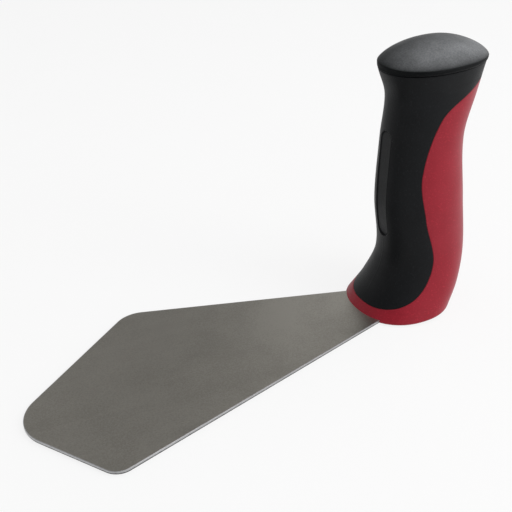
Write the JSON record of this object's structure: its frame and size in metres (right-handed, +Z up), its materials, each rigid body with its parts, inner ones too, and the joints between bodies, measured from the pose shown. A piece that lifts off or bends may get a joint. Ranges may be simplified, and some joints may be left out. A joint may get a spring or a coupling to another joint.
{
  "type": "masonry trowel with an upright handle",
  "caption": "Flat skewed kite-shaped steel trowel blade with plain edges and a tall upright two-colour soft-grip handle on its heel, for spreading and scooping mortar.",
  "frame": {"origin": "on the blade's underside, below the middle of the handle's foot, between the two countersunk fasteners", "axes": "+X towards the blade's nose, +Y to the left of the hand that holds it, +Z up the handle"},
  "size_m": [0.2195, 0.0954, 0.1293],
  "materials": {
    "blade_steel": "satin stainless",
    "red_plastic": "semi-matte moulded",
    "black_rubber": "matte soft-touch",
    "black_plastic": "satin moulded",
    "fastener_steel": "plain"
  },
  "bodies": {
    "root": {"blade": "blade_steel", "handle_core": "red_plastic", "grip": "black_rubber", "end_cap": "black_plastic", "tie_bolt": "fastener_steel", "washer": "fastener_steel", "nut": "fastener_steel", "toe_screw": "fastener_steel"}
  },
  "joints": []
}
